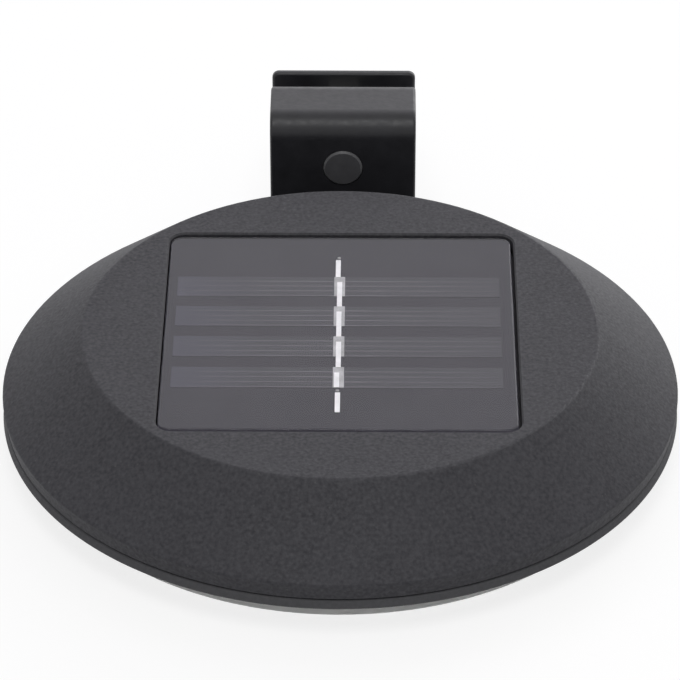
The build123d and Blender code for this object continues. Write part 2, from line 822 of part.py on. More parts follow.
def battery_contact(side):
    """A contact plate at one end of the cell, with its solder tab through the holder's wall."""
    low_x = contact_x if side > 0 else -contact_x - contact_t
    with BuildPart() as contact:
        with BuildSketch(Plane.YZ.offset(low_x)):
            with Locations((battery_y, battery_z)):
                Rectangle(contact_w, contact_h)
            with Locations(((tab_front_y + contact_front_y) / 2, slot_z)):
                Rectangle(contact_front_y - tab_front_y, contact_tab_h)
        extrude(amount=contact_t)
    return contact


contact_plus = battery_contact(1)
contact_minus = battery_contact(-1)

# ====================================================================== wires
solder_z = circuit_top_z + wire_r + wire_lap
lead_x = contact_x - wire_r - wire_lap
lead_straight_y = holder_front_y - battery_lead_straight
battery_solder_y = circuit_rear_y - battery_lead_inset


def panel_wire(side):
    """One of the panel's wires: down through the pocket's floor, then forward to its solder point."""
    start_x = wire_hole_x + side * strand_gap
    near_x = wire_hole_x + side * near_turn[0] * panel_lead_spread
    near_y = wire_hole_y - near_turn[1] * panel_lead_reach
    far_x = wire_hole_x + side * far_turn[0] * panel_lead_spread
    far_y = wire_hole_y - far_turn[1] * panel_lead_reach
    return wire_along(
        [
            (start_x, wire_hole_y, board_low_z),
            (start_x, wire_hole_y, pocket_low_z - wire_drop),
            (near_x, near_y, solder_z + panel_lead_rise),
            (far_x, far_y, solder_z),
            (wire_hole_x + side * panel_lead_spread, wire_hole_y - panel_lead_reach, solder_z),
        ],
        panel_lead_radii,
    )


def battery_wire(side):
    """A wire from a contact's solder tab, forward over the circuit board's rear edge."""
    return wire_along(
        [
            (side * lead_x, holder_front_y - wire_lap, slot_z),
            (side * lead_x, lead_straight_y, slot_z + wire_lap),
            (
                side * (lead_x + battery_lead_sway),
                (lead_straight_y + battery_solder_y) / 2,
                solder_z + battery_lead_rise,
            ),
            (side * (lead_x + battery_lead_spread), battery_solder_y, solder_z),
        ],
        battery_lead_radii,
    )


panel_wire_red = panel_wire(-1)
panel_wire_black = panel_wire(1)
battery_wire_red = battery_wire(1)
battery_wire_black = battery_wire(-1)

# ====================================================================== bracket
half_t = strip_t / 2
crest_bend_r = bend_r + half_t
pocket_bend_r = (pocket_gap_y + strip_t) / 2
crest_mid_z = crest_z - half_t
leg_mid_y = leg_y + half_t
middle_mid_y = middle_y + half_t
rear_mid_y = rear_y + half_t
# The pocket's bend starts low enough for the nut's flat to clear the curve.
pocket_sag = math.sqrt((pocket_gap_y / 2) ** 2 - (nut_t / 2) ** 2)
pocket_bend_z = screw_z - nut_af / 2 - nut_gap + pocket_sag

with BuildPart() as bracket:
    with BuildSketch(Plane.YZ.offset(-strip_w / 2)):
        with BuildLine():
            front_leg = Line((leg_mid_y, leg_low_z), (leg_mid_y, crest_mid_z - crest_bend_r))
            front_bend = TangentArc(
                front_leg @ 1,
                (leg_mid_y + crest_bend_r, crest_mid_z),
                tangent=front_leg % 1,
            )
            crest = Line(front_bend @ 1, (middle_mid_y - crest_bend_r, crest_mid_z))
            rear_bend = TangentArc(crest @ 1, (middle_mid_y, crest_mid_z - crest_bend_r), tangent=crest % 1)
            middle_leg = Line(rear_bend @ 1, (middle_mid_y, pocket_bend_z))
            pocket_bend = TangentArc(middle_leg @ 1, (rear_mid_y, pocket_bend_z), tangent=middle_leg % 1)
            Line(pocket_bend @ 1, (rear_mid_y, top_z + rear_rise))
        trace(line_width=strip_t)
    extrude(amount=strip_w)
    end_corners = bracket.edges().filter_by(Axis.Y).filter_by(lambda e: abs(e.length - strip_t) < strip_t / 10)
    fillet(end_corners, strip_corner)
    side_edges = bracket.faces().filter_by(Axis.X).edges()
    fillet(side_edges, strip_edge)
    # Hole in the front leg that the tip comes through, and the holes behind it for the screw
    with BuildSketch(upright(leg_back_y)):
        with Locations((0, screw_z)):
            Circle(tip_r + tip_hole_gap)
    extrude(amount=strip_t, mode=Mode.SUBTRACT)
    with BuildSketch(upright(rear_back_y)):
        with Locations((0, screw_z)):
            Circle(clamp_r + bracket_hole_gap)
    extrude(amount=rear_back_y - middle_y, mode=Mode.SUBTRACT)
    # Fixing holes
    with BuildSketch(upright(leg_back_y)):
        with Locations(*fixing_places):
            Circle(screw_shank_r + through_gap)
    extrude(amount=strip_t, mode=Mode.SUBTRACT)

fixing_screw = pan_screw(screw_head_r, screw_head_h, screw_shank_r, fixing_len)
with BuildPart() as bracket_screws:
    with Locations(upright(leg_back_y)):
        with Locations(*fixing_places):
            add(fixing_screw.part)

# ====================================================================== clamp
nut_corner_z = screw_z + nut_af / 2 + nut_bevel_rise
with BuildPart() as clamp_nut:
    with BuildSketch(upright(nut_back_y)):
        with Locations((0, screw_z)):
            RegularPolygon(nut_af / 2, 6, major_radius=False)
    extrude(amount=nut_t)
    with BuildSketch(Plane.YZ):
        with BuildLine():
            Polyline(
                (nut_y, screw_z),
                (nut_y, screw_z + nut_af / 2),
                (nut_y + nut_bevel, nut_corner_z),
                (nut_back_y - nut_bevel, nut_corner_z),
                (nut_back_y, screw_z + nut_af / 2),
                (nut_back_y, screw_z),
                close=True,
            )
        make_face()
    revolve(axis=screw_axis, mode=Mode.INTERSECT)
    with BuildSketch(upright(nut_back_y)):
        with Locations((0, screw_z)):
            Circle(clamp_r + nut_bore_gap)
    extrude(amount=nut_t, mode=Mode.SUBTRACT)

with BuildPart() as screw_tip:
    with BuildSketch(upright(tip_back_y)):
        with Locations((0, screw_z)):
            Circle(tip_r)
    extrude(amount=tip_len)
    chamfer(screw_tip.edges().filter_by(GeomType.CIRCLE).sort_by(Axis.Y)[0], tip_bevel)
    with BuildSketch(upright(leg_back_y + tip_collar_gap + tip_collar_t)):
        with Locations((0, screw_z)):
            Circle(tip_collar_r)
    extrude(amount=tip_collar_t)
    with BuildSketch(upright(tip_back_y)):
        with Locations((0, screw_z)):
            Circle(nose_r + nose_gap)
    extrude(amount=nose_len + nose_end_gap, mode=Mode.SUBTRACT)

with BuildPart() as clamp_screw:
    with BuildSketch(Plane.YZ):
        with BuildLine():
            Polyline(
                (nose_front_y, screw_z),
                (nose_front_y, screw_z + nose_r),
                (shoulder_y, screw_z + nose_r),
                (shoulder_y, screw_z + clamp_r - screw_bevel),
                (shoulder_y + screw_bevel, screw_z + clamp_r),
                (screw_end_y, screw_z + clamp_r),
                (screw_end_y, screw_z),
                close=True,
            )
        make_face()
    revolve(axis=screw_axis)

with BuildPart() as clamp_knob:
    with BuildSketch(upright(knob_back_y)):
        with Locations((0, screw_z)):
            Circle(knob_hub_r)
        with Locations((knob_lobe_x, screw_z), (-knob_lobe_x, screw_z)):
            Circle(knob_lobe_r)
        make_hull()
    extrude(amount=knob_lobe_t)
    with BuildSketch(upright(knob_back_y - knob_lobe_t)):
        with Locations((0, screw_z)):
            Circle(knob_collar_r)
    extrude(amount=knob_t - knob_lobe_t)
    fillet(clamp_knob.faces().sort_by(Axis.Y)[-1].edges(), knob_round)
    with BuildSketch(upright(screw_end_y)):
        with Locations((0, screw_z)):
            Circle(clamp_r)
    extrude(amount=knob_bore_depth, mode=Mode.SUBTRACT)

# ====================================================================== files
pieces = {
    "top_cover": top_cover,
    "base_frame": base_frame,
    "seal_ring": seal_ring,
    "lens": lens,
    "housing_screws": housing_screws,
    "panel_pad": panel_pad,
    "panel_board": panel_board,
    "solar_cells": solar_cells,
    "cell_tabs": cell_tabs,
    "busbar_ribbon": busbar_ribbon,
    "panel_cover": panel_cover,
    "reflector": reflector,
    "leds": leds,
    "circuit_board": circuit_board,
    "board_screws": board_screws,
    "driver_chip": driver_chip,
    "choke": choke,
    "capacitor": capacitor,
    "switch_body": switch_body,
    "switch_slider": switch_slider,
    "battery_cell": battery_cell,
    "battery_holder": battery_holder,
    "contact_plus": contact_plus,
    "contact_minus": contact_minus,
    "panel_wire_red": panel_wire_red,
    "panel_wire_black": panel_wire_black,
    "battery_wire_red": battery_wire_red,
    "battery_wire_black": battery_wire_black,
    "bracket": bracket,
    "bracket_screws": bracket_screws,
    "clamp_nut": clamp_nut,
    "screw_tip": screw_tip,
    "clamp_screw": clamp_screw,
    "clamp_knob": clamp_knob,
}
for name, piece in pieces.items():
    piece.part.label = name
    export_step(piece.part, f"parts/{name}.step")
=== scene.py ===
import json
import math

import bmesh
import bpy
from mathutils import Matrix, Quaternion, Vector


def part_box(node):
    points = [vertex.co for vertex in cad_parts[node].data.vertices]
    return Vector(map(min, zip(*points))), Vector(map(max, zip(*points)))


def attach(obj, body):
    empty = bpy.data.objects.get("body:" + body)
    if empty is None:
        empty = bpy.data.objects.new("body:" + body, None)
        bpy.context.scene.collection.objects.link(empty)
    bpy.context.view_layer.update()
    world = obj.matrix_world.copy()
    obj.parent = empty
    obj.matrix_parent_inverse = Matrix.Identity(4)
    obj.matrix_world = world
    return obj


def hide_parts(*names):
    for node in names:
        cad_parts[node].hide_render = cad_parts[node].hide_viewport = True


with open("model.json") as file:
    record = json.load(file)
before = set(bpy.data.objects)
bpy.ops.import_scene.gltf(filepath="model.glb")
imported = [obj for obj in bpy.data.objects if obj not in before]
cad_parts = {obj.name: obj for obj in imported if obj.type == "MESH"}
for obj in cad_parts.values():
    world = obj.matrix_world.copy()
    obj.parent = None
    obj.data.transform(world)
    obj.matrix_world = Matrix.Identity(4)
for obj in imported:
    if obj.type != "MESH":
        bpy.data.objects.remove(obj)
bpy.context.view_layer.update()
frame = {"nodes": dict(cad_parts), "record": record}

# A solar fence light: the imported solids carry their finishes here, and the pieces whose detail
# is finer than the solids show are built as meshes. Metres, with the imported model's own axes.

MM = 0.001


def box_mm(name):
    """A node's lowest and highest corners in millimetres."""
    low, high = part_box(name)
    return low / MM, high / MM


# ------------------------------------------------------------------------------ camera
TARGET = Vector((0.0, -4.167, 22.6)) * MM
CAMERA_DISTANCE = 711.7 * MM
CAMERA_ELEVATION = math.radians(33.96)
CAMERA_YAW = math.radians(0.5)
CAMERA_ROLL = math.radians(-0.05)
LENS_MM = 214.17
SENSOR_MM = 36.0
SHIFT_Y = 0.00074
CLIP_NEAR = 0.01
CLIP_FAR = 20.0


def make_camera():
    """The photograph's view: a long lens, a third of the way up from the floor."""
    data = bpy.data.cameras.new("camera")
    data.lens = LENS_MM
    data.sensor_width = SENSOR_MM
    data.sensor_fit = "HORIZONTAL"
    data.shift_y = SHIFT_Y
    data.clip_start = CLIP_NEAR
    data.clip_end = CLIP_FAR
    camera = bpy.data.objects.new("camera", data)
    flat = CAMERA_DISTANCE * math.cos(CAMERA_ELEVATION)
    x = flat * math.sin(CAMERA_YAW)
    y = -flat * math.cos(CAMERA_YAW)
    back = Vector((x, y, CAMERA_DISTANCE * math.sin(CAMERA_ELEVATION)))
    camera.location = TARGET + back
    level = (-back).to_track_quat("-Z", "Y")
    camera.rotation_euler = (level @ Quaternion((0, 0, 1), CAMERA_ROLL)).to_euler()
    bpy.context.scene.collection.objects.link(camera)
    bpy.context.scene.camera = camera


# ------------------------------------------------------------------------------ shader nodes
def node(tree, kind, sockets=None, **settings):
    """A shader node with its settings, and its sockets set or linked."""
    made = tree.nodes.new("ShaderNode" + kind)
    for key, value in settings.items():
        setattr(made, key, value)
    for key, value in (sockets or {}).items():
        if isinstance(value, bpy.types.NodeSocket):
            tree.links.new(value, made.inputs[key])
        else:
            made.inputs[key].default_value = value
    return made


def start_material(name, **sockets):
    """A material with one Principled shader, whose constants are set on its own sockets."""
    material = bpy.data.materials.new(name)
    material.use_nodes = True
    tree = material.node_tree
    tree.nodes.clear()
    shader = node(tree, "BsdfPrincipled")
    for key, value in sockets.items():
        socket = key.replace("_", " ").title().replace("Ior", "IOR")
        shader.inputs[socket].default_value = value
    node(tree, "OutputMaterial", {"Surface": shader.outputs["BSDF"]})
    return material, tree, shader


def place(tree):
    """The point on the piece, in metres."""
    return node(tree, "TexCoord").outputs["Object"]


def along(tree, vector, axis):
    """One coordinate of a vector."""
    return node(tree, "SeparateXYZ", {"Vector": vector}).outputs[axis]


def stretched(tree, vector, scale):
    """A vector scaled per axis, so that noise read at it forms streaks."""
    return node(tree, "Mapping", {"Vector": vector, "Scale": scale}).outputs["Vector"]


def cloud(tree, size, detail=2.0, at=None):
    """Soft noise whose blotches are about size metres across."""
    sockets = {"Vector": at or place(tree), "Scale": 1 / size, "Detail": detail}
    return node(tree, "TexNoise", sockets).outputs["Fac"]


def cells(tree, size):
    """Distance to the nearest of many scattered points, about size metres apart."""
    return node(tree, "TexVoronoi", {"Vector": place(tree), "Scale": 1 / size}).outputs["Distance"]


def spread(tree, value, low, high, start=0.3, end=0.7):
    """Value from start to end, spread over low to high."""
    sockets = {"Value": value, "From Min": start, "From Max": end, "To Min": low, "To Max": high}
    return node(tree, "MapRange", sockets).outputs["Result"]


def maths(tree, operation, a, b=0.0):
    """One sum on two values."""
    return node(tree, "Math", {0: a, 1: b}, operation=operation).outputs["Value"]


def mixed(tree, share, first, second):
    """Two colours mixed by a share."""
    if not isinstance(first, bpy.types.NodeSocket):
        first = (*first, 1.0)
    if not isinstance(second, bpy.types.NodeSocket):
        second = (*second, 1.0)
    sockets = {"Fac": share, "Color1": first, "Color2": second}
    return node(tree, "MixRGB", sockets).outputs["Color"]


def blotched(tree, size, dark, light, detail=2.0, at=None):
    """Two colours mixed in soft blotches about size metres across."""
    return mixed(tree, spread(tree, cloud(tree, size, detail, at), 0, 1), dark, light)


def relief(tree, height, depth, under=None):
    """A bump of height times depth metres, on top of the bump under it."""
    sockets = {"Height": height, "Distance": depth, "Strength": 1.0}
    if under is not None:
        sockets["Normal"] = under
    return node(tree, "Bump", sockets).outputs["Normal"]


def edge_wear_and_highlight(tree, radius):
    """1 on the piece's edges and 0 on its faces, from how far a rounded normal leans."""
    rounded = node(tree, "Bevel", {"Radius": radius}, samples=4).outputs["Normal"]
    true = node(tree, "NewGeometry").outputs["Normal"]
    lean = node(tree, "VectorMath", {0: rounded, 1: true}, operation="DOT_PRODUCT").outputs["Value"]
    return spread(tree, lean, 1.0, 0.0, start=0.82, end=0.98)


def finish(tree, shader, color, rough, normal=None):
    """Link a finish's colour, roughness and relief to its shader."""
    tree.links.new(color, shader.inputs["Base Color"])
    tree.links.new(rough, shader.inputs["Roughness"])
    if normal is not None:
        tree.links.new(normal, shader.inputs["Normal"])


# ------------------------------------------------------------------------------ finishes
RING_TOP = 7.6 * MM  # the painted floor light on the lower ring starts to fade into the cover's plain colour here
COVER_START = 7.9 * MM


def black_abs():
    """Matt black moulding: a mottled grain, a few pale specks of dust, and rubbed edges that are
    also drawn lighter as a painted highlight. Below the cover it is drawn lighter, as painted floor
    light on the lower ring.
    """
    material, tree, shader = start_material("black_abs", specular_ior_level=0.27)
    base = blotched(tree, 9 * MM, (0.028, 0.0275, 0.0325), (0.0365, 0.036, 0.042))
    grain = spread(tree, cloud(tree, 0.65 * MM, 3.0), 0, 0.9)
    base = mixed(tree, grain, base, (0.075, 0.074, 0.082))
    dust = spread(tree, cells(tree, 2.6 * MM), 0.35, 0.0, start=0.03, end=0.09)
    base = mixed(tree, dust, base, (0.14, 0.14, 0.14))
    # Partly real rubbing and partly a painted highlight: the edges are drawn lighter to show the
    # light caught along the rim's edge.
    patchy = spread(tree, cloud(tree, 2 * MM, 4.0), 0.3, 0.9)
    rubbed_and_highlight = maths(tree, "MULTIPLY", edge_wear_and_highlight(tree, 0.5 * MM), patchy)
    base = mixed(tree, rubbed_and_highlight, base, (0.12, 0.12, 0.124))
    # Painted light: below the cover the moulding is drawn lighter, standing in for the floor light
    # that the lower ring picks up.
    height = along(tree, place(tree), "Z")
    ring = spread(tree, height, 0.55, 0.0, start=RING_TOP, end=COVER_START)
    base = mixed(tree, ring, base, (0.10, 0.10, 0.105))
    rough = spread(tree, cloud(tree, 0.5 * MM), 0.58, 0.72)
    fine = relief(tree, cloud(tree, 0.34 * MM, 3.0), 0.035 * MM)
    finish(tree, shader, base, rough, relief(tree, cloud(tree, 6 * MM), 0.03 * MM, under=fine))
    return material


def powder_coat():
    """Satin black powder coat over steel, rubbed a little thin on its edges."""
    material, tree, shader = start_material("powder_coat", specular_ior_level=0.32)
    base = blotched(tree, 4 * MM, (0.020, 0.020, 0.023), (0.027, 0.027, 0.031))
    patchy = spread(tree, cloud(tree, 1.5 * MM, 4.0), 0, 0.5)
    wear_and_sheen = maths(tree, "MULTIPLY", edge_wear_and_highlight(tree, 0.5 * MM), patchy)
    base = mixed(tree, wear_and_sheen, base, (0.06, 0.06, 0.062))
    rough = spread(tree, cloud(tree, 1.2 * MM), 0.34, 0.46)
    peel = relief(tree, cloud(tree, 0.9 * MM, 2.0), 0.02 * MM)
    finish(tree, shader, base, rough, relief(tree, cloud(tree, 0.2 * MM), 0.004 * MM, under=peel))
    return material


def frosted_lens():
    """Frosted polycarbonate that lets light through and scatters it."""
    material, tree, shader = start_material(
        "frosted_lens", ior=1.5, transmission_weight=0.75, specular_ior_level=0.5
    )
    base = blotched(tree, 7 * MM, (0.72, 0.72, 0.715), (0.78, 0.78, 0.775))
    rough = spread(tree, cloud(tree, 1.0 * MM), 0.42, 0.56)
    finish(tree, shader, base, rough, relief(tree, cloud(tree, 0.3 * MM), 0.01 * MM))
    return material


def clear_resin():
    """The panel's clear face: glossy resin, faintly uneven."""
    material, tree, shader = start_material(
        "clear_resin", ior=1.3, transmission_weight=1.0, specular_ior_level=0.5
    )
    base = blotched(tree, 12 * MM, (0.9, 0.89, 0.93), (0.95, 0.94, 0.97))
    rough = spread(tree, cloud(tree, 2.5 * MM), 0.05, 0.09)
    finish(tree, shader, base, rough, relief(tree, cloud(tree, 8 * MM), 0.02 * MM))
    return material


def silicon():
    """Blue-grey cell strips, bluer towards their left ends, with faint streaks along them."""
    material, tree, shader = start_material("silicon", specular_ior_level=0.0)
    at = place(tree)
    streak = stretched(tree, at, (0.06, 1.0, 1.0))
    base = blotched(tree, 0.5 * MM, (0.080, 0.077, 0.088), (0.092, 0.089, 0.101), at=streak)
    left = spread(tree, along(tree, at, "X"), 1.0, 0.0, start=-29 * MM, end=-14 * MM)
    base = mixed(tree, left, base, (0.093, 0.091, 0.115))
    rough = spread(tree, cloud(tree, 1.0 * MM), 0.3, 0.4)
    finish(tree, shader, base, rough, relief(tree, cloud(tree, 0.4 * MM), 0.004 * MM))
    return material


def finger_print():
    """Thin silver print with a painted sheen: drawn brightest at the pads and fading outwards, in
    patchy streaks.
    """
    material, tree, shader = start_material("finger_print", specular_ior_level=0.0)
    at = place(tree)
    # Painted sheen: the print is drawn brightest at the pads and fades outwards, as its reflection
    # does.
    away = maths(tree, "ABSOLUTE", along(tree, at, "X"))
    painted_sheen = spread(tree, away, 1.0, 0.22, start=3 * MM, end=27 * MM)
    streak = stretched(tree, at, (0.25, 1.0, 1.0))
    wear_and_sheen = maths(tree, "MULTIPLY", painted_sheen, spread(tree, cloud(tree, 1.2 * MM, at=streak), 0.5, 1.0))
    base = mixed(tree, wear_and_sheen, (0.088, 0.085, 0.097), (0.31, 0.31, 0.34))
    finish(tree, shader, base, spread(tree, cloud(tree, 0.6 * MM), 0.4, 0.55))
    return material


def circuit_green():
    """Green solder mask over faint square-cornered tracks."""
    material, tree, shader = start_material("green_board", specular_ior_level=0.5)
    sockets = {
        "Vector": place(tree),
        "Scale": 1.0,
        "Mortar Size": 0.35 * MM,
        "Brick Width": 7 * MM,
        "Row Height": 2.6 * MM,
        "Color1": (0.014, 0.09, 0.03, 1),
        "Color2": (0.017, 0.10, 0.035, 1),
        "Mortar": (0.03, 0.17, 0.06, 1),
    }
    tracks = node(tree, "TexBrick", sockets)
    shade = spread(tree, cloud(tree, 5 * MM), 0, 0.3)
    base = mixed(tree, shade, tracks.outputs["Color"], (0.01, 0.06, 0.02))
    rough = spread(tree, cloud(tree, 1 * MM), 0.25, 0.4)
    finish(tree, shader, base, rough, relief(tree, tracks.outputs["Fac"], 0.03 * MM))
    return material


def brushed_metal(name, dark, light, rough, squeeze):
    """Plated or rolled metal with fine streaks and dull spots. Squeeze is small for long streaks."""
    material, tree, shader = start_material(name, metallic=1.0)
    streak = stretched(tree, place(tree), (1.0, squeeze, 1.0))
    base = blotched(tree, 2 * MM, dark, light, detail=3.0)
    uneven = spread(tree, cloud(tree, 0.3 * MM, 2.0, at=streak), *rough)
    normal = relief(tree, cloud(tree, 0.15 * MM, 2.0, at=streak), 0.003 * MM)
    finish(tree, shader, base, uneven, normal)
    return material


def plain_finish(name, dark, light, blotch, rough, grain, depth):
    """A moulded, rolled or painted surface: blotched colour, uneven gloss and a fine relief."""
    material, tree, shader = start_material(name, **PLAIN_SOCKETS.get(name, {}))
    base = blotched(tree, blotch * MM, dark, light)
    uneven = spread(tree, cloud(tree, blotch * MM * 0.4), *rough)
    normal = relief(tree, cloud(tree, grain * MM, 3.0), depth * MM)
    finish(tree, shader, base, uneven, normal)
    return material


# Slot: dark and light colour, lowest and highest roughness, squeeze of the streaks
METALS = {
    "zinc_steel": ((0.5, 0.5, 0.48), (0.66, 0.65, 0.62), (0.28, 0.45), 0.08),
    "switch_metal": ((0.5, 0.5, 0.47), (0.62, 0.61, 0.58), (0.25, 0.4), 0.08),
    "nickel": ((0.55, 0.54, 0.5), (0.68, 0.66, 0.6), (0.2, 0.35), 0.08),
    "can_metal": ((0.6, 0.6, 0.6), (0.72, 0.72, 0.72), (0.3, 0.42), 0.08),
    "tinned_copper": ((0.8, 0.8, 0.79), (0.9, 0.9, 0.89), (0.45, 0.6), 0.1),
    "tab_solder": ((0.42, 0.42, 0.42), (0.56, 0.56, 0.56), (0.5, 0.65), 0.08),
}

# Slot: dark and light colour, blotch, lowest and highest roughness, grain, depth of its relief
PLAIN = {
    "black_rubber": ((0.018,) * 3, (0.026,) * 3, 3, (0.7, 0.85), 0.3, 0.02),
    "white_foam": ((0.68, 0.68, 0.66), (0.8, 0.8, 0.78), 1, (0.8, 0.95), 0.35, 0.08),
    "panel_backing": ((0.055, 0.0525, 0.063), (0.061, 0.0585, 0.069), 10, (0.4, 0.5), 1.5, 0.002),
    "white_abs": ((0.76, 0.76, 0.74), (0.84, 0.84, 0.82), 8, (0.3, 0.42), 0.4, 0.01),
    "led_epoxy": ((0.86, 0.86, 0.76), (0.92, 0.92, 0.84), 1, (0.08, 0.14), 0.6, 0.004),
    "chip_epoxy": ((0.016,) * 3, (0.024,) * 3, 1, (0.55, 0.7), 0.12, 0.01),
    "ferrite": ((0.03, 0.028, 0.028), (0.05, 0.046, 0.045), 1, (0.5, 0.7), 0.15, 0.015),
    "battery_wrap": ((0.015, 0.11, 0.035), (0.02, 0.14, 0.045), 6, (0.22, 0.32), 1.5, 0.02),
    "red_wire": ((0.42, 0.012, 0.012), (0.52, 0.02, 0.018), 3, (0.3, 0.4), 0.3, 0.006),
    "black_wire": ((0.012,) * 3, (0.018,) * 3, 3, (0.3, 0.42), 0.3, 0.006),
    "black_nylon": ((0.078, 0.078, 0.083), (0.094, 0.094, 0.100), 2, (0.42, 0.56), 0.18, 0.012),
}
PLAIN_SOCKETS = {
    "panel_backing": {"specular_ior_level": 0.0},
    "led_epoxy": {"transmission_weight": 0.8, "ior": 1.52},
}


def make_materials():
    """Every finish, by the record's slot name."""
    made = {
        "black_abs": black_abs(),
        "powder_coat": powder_coat(),
        "frosted_lens": frosted_lens(),
        "clear_resin": clear_resin(),
        "silicon": silicon(),
        "green_board": circuit_green(),
    }
    for slot, values in METALS.items():
        made[slot] = brushed_metal(slot, *values)
    for slot, values in PLAIN.items():
        made[slot] = plain_finish(slot, *values)
    return made


# ------------------------------------------------------------------------------ meshes
def new_piece(name, mesh, material, body):
    """A mesh that rides on a body and takes the finish it is given."""
    data = bpy.data.meshes.new(name)
    mesh.to_mesh(data)
    mesh.free()
    data.materials.append(material)
    piece = bpy.data.objects.new(name, data)
    bpy.context.scene.collection.objects.link(piece)
    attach(piece, body)
    return piece


def skin(mesh, rings, smooth=True):
    """Walls between closed rings of points, in order, and a cap at each end."""
    loops = [[mesh.verts.new(p) for p in ring] for ring in rings]
    for low, high in zip(loops, loops[1:]):
        for i in range(len(low)):
            j = (i + 1) % len(low)
            mesh.faces.new((low[i], low[j], high[j], high[i])).smooth = smooth
    mesh.faces.new(loops[0][::-1])
    mesh.faces.new(loops[-1])


def rounded_ring(width, depth, radius, x, y, z, steps=8):
    """A level rounded rectangle of points, anticlockwise seen from above, given in millimetres."""
    ring = []
    for corner, (sx, sy) in enumerate(((1, 1), (-1, 1), (-1, -1), (1, -1))):
        for step in range(steps + 1):
            turn = math.radians(90 * (corner + step / steps))
            px = x + sx * (width / 2 - radius) + radius * math.cos(turn)
            py = y + sy * (depth / 2 - radius) + radius * math.sin(turn)
            ring.append(Vector((px, py, z)) * MM)
    return ring


# The panel's clear face, in millimetres
FACE_CORNER = 2.2
FACE_EDGE = 0.35  # radius of its rounded upper edge
FACE_EDGE_STEPS = 6
FACE_KEYED = 0.15  # its underside is this far inside the board


def panel_face(materials):
    """The panel's clear face: a resin layer with a softly rounded upper edge, cast on the board."""
    low, high = box_mm("panel_cover")
    width = high.x - low.x
    depth = high.y - low.y
    x, y = (low.x + high.x) / 2, (low.y + high.y) / 2

    def outline(inset, z):
        return rounded_ring(width - 2 * inset, depth - 2 * inset, FACE_CORNER - inset, x, y, z)

    rings = [outline(FACE_KEYED, low.z - FACE_KEYED), outline(0, low.z)]
    for step in range(FACE_EDGE_STEPS + 1):
        turn = math.radians(90 * step / FACE_EDGE_STEPS)
        inset = FACE_EDGE * (1 - math.cos(turn))
        rings.append(outline(inset, high.z - FACE_EDGE + FACE_EDGE * math.sin(turn)))
    mesh = bmesh.new()
    skin(mesh, rings)
    piece = new_piece("panel_face", mesh, materials["clear_resin"], "lamp")
    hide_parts("panel_cover")


# The silver lines printed along each cell, in millimetres
FINGER_COUNT = 4
FINGER_PITCH = 1.55
FINGER_START = 1.4  # from the strip's rear edge to its first line
FINGER_INSET = 0.4  # from the strip's ends
FINGER_W = 0.16
FINGER_RISE = 0.02
CELL_COUNT = 4
CELL_PITCH = 9.6


def finger_lines():
    """Four printed lines along each cell strip, brightest at the pads."""
    low, high = box_mm("solar_cells")
    mesh = bmesh.new()
    for strip in range(CELL_COUNT):
        for line in range(FINGER_COUNT):
            y = high.y - strip * CELL_PITCH - FINGER_START - line * FINGER_PITCH
            section = (
                (y - FINGER_W / 2, high.z - FINGER_RISE),
                (y + FINGER_W / 2, high.z - FINGER_RISE),
                (y + FINGER_W / 4, high.z + FINGER_RISE),
                (y - FINGER_W / 4, high.z + FINGER_RISE),
            )
            ends = (low.x + FINGER_INSET, high.x - FINGER_INSET)
            rings = [[Vector((x, across, up)) * MM for across, up in section] for x in ends]
            skin(mesh, rings, smooth=False)
    bmesh.ops.recalc_face_normals(mesh, faces=mesh.faces)
    new_piece("cell_fingers", mesh, finger_print(), "lamp")


# Blobs of solder at the ribbon's tails, in millimetres
BLOB_R = 0.38
BLOB_RISE = 0.22
BLOB_SUNK = 0.2  # from the ribbon's underside down to the blob's foot
BLOB_ARC = 85  # degrees of its dome
BLOB_SIDES = 16
BLOB_STEPS = 5
REAR_BLOB = 0.9  # behind the ribbon
FRONT_BLOB = 0.75  # in front of the cells


def solder_blobs(materials):
    """A small blob of solder behind the rear tail, and one in the break before the front tail."""
    low, high = box_mm("busbar_ribbon")
    cells_low, _ = box_mm("solar_cells")
    x = (low.x + high.x) / 2
    mesh = bmesh.new()
    for y in (high.y + REAR_BLOB, cells_low.y - FRONT_BLOB):
        rings = []
        for step in range(BLOB_STEPS + 1):
            turn = math.radians(BLOB_ARC * step / BLOB_STEPS)
            radius = BLOB_R * math.cos(turn)
            z = low.z - BLOB_SUNK + BLOB_RISE * math.sin(turn)
            ring = []
            for side in range(BLOB_SIDES):
                angle = 2 * math.pi * side / BLOB_SIDES
                px = x + radius * math.cos(angle)
                py = y + radius * math.sin(angle)
                ring.append(Vector((px, py, z)) * MM)
            rings.append(ring)
        skin(mesh, rings)
    new_piece("solder_blobs", mesh, materials["tab_solder"], "lamp")


# The clamp screw, within the plain round solid: an M6 thread of 1 mm pitch, in millimetres
THREAD_PITCH = 1.0
THREAD_DEPTH = 0.55
THREAD_FLAT = 0.2  # share of a pitch that is crest
THREAD_ROUND = 1.15  # above 1 the root is rounder
THREAD_STEP = 0.1
THREAD_SIDES = 48
THREAD_INSIDE = 0.02  # crests are this far inside the solid's shank
NOSE_R = 1.8
NOSE_LEN = 2.6
NOSE_BEVEL = 0.25
SHOULDER_BEVEL = 0.6  # length over which the thread starts
SHOULDER_DROP = 0.3  # the bevel starts this far below the thread's root


def thread_radius(turns, crest, root):
    """The thread's radius after a number of turns: a flat crest, slanted flanks, a round root."""
    phase = turns % 1.0
    away = abs(phase - 0.5) * 2  # 0 in the root, 1 on the crest's middle
    rise = min(1.0, away / (1 - THREAD_FLAT))
    return root + (crest - root) * rise ** THREAD_ROUND


def screw_ring(x, y, z, radius_at):
    """A ring of points about the screw's axis, with a radius for each share of a turn."""
    points = []
    for side in range(THREAD_SIDES):
        turn = side / THREAD_SIDES
        radius = radius_at(turn)
        angle = 2 * math.pi * turn
        px = x + radius * math.cos(angle)
        pz = z + radius * math.sin(angle)
        points.append(Vector((px, y, pz)) * MM)
    return points[::-1]


